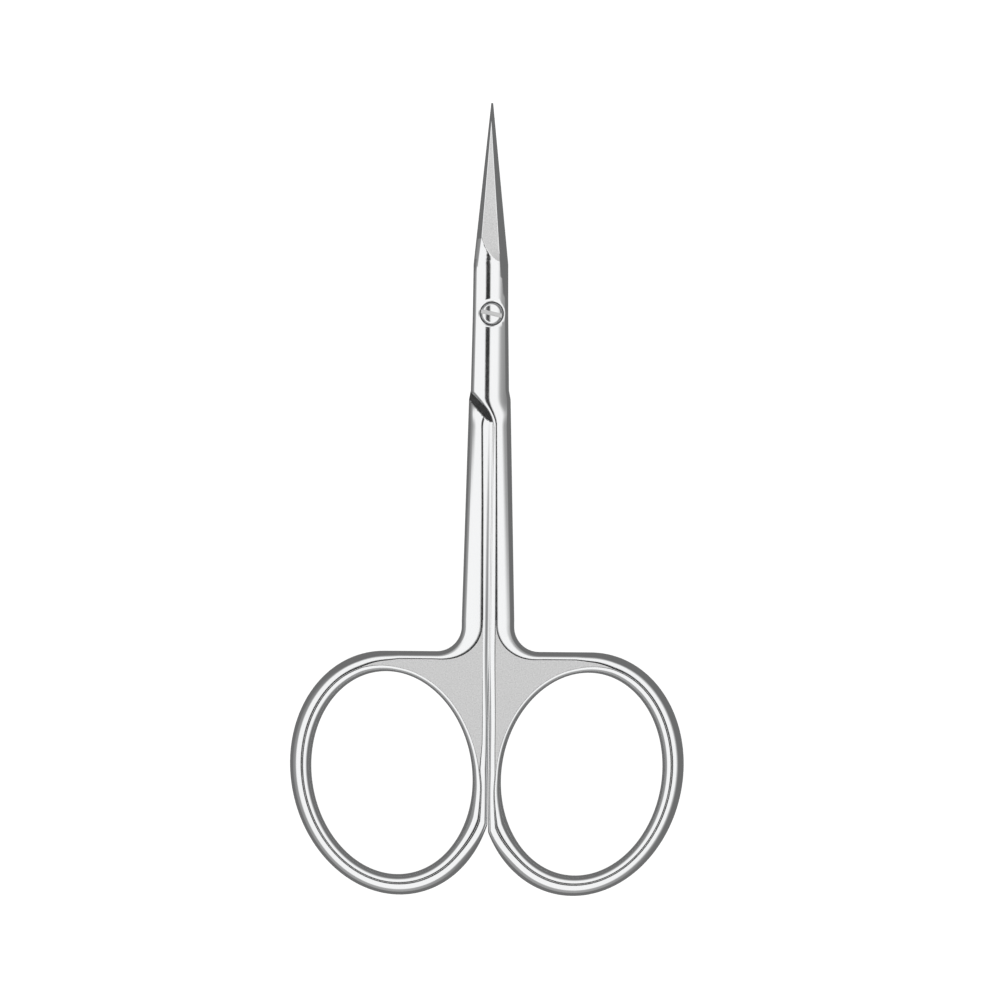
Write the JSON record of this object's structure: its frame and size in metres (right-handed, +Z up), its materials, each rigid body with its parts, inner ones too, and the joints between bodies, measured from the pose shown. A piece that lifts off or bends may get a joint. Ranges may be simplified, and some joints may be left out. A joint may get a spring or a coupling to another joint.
{
  "type": "cuticle scissors",
  "caption": "Small curved cuticle scissors: pointed blades with upturned tips, slender shanks and oval finger rings, turning on a slotted screw.",
  "frame": {"origin": "on the surface that the closed scissors lie on, under the middle of their box", "axes": "+Y towards the blade tips, +X towards the ring of the front half, +Z up, away from the surface, the way the tips curve"},
  "size_m": [0.0472, 0.095, 0.0055],
  "materials": {
    "polished_steel": "stainless steel with polished edges and satin ground flats",
    "screw_steel": "polished stainless steel screw"
  },
  "bodies": {
    "rear": {"rear_half": "polished_steel", "pivot_screw": "screw_steel"},
    "front": {"front_half": "polished_steel"}
  },
  "joints": [
    {"name": "pivot", "type": "hinge", "parent": "rear", "child": "front", "pos_m": [0.00015, 0.02228, 0.0015], "axis": [0, 0, 1], "range_deg": [0, 140]}
  ]
}
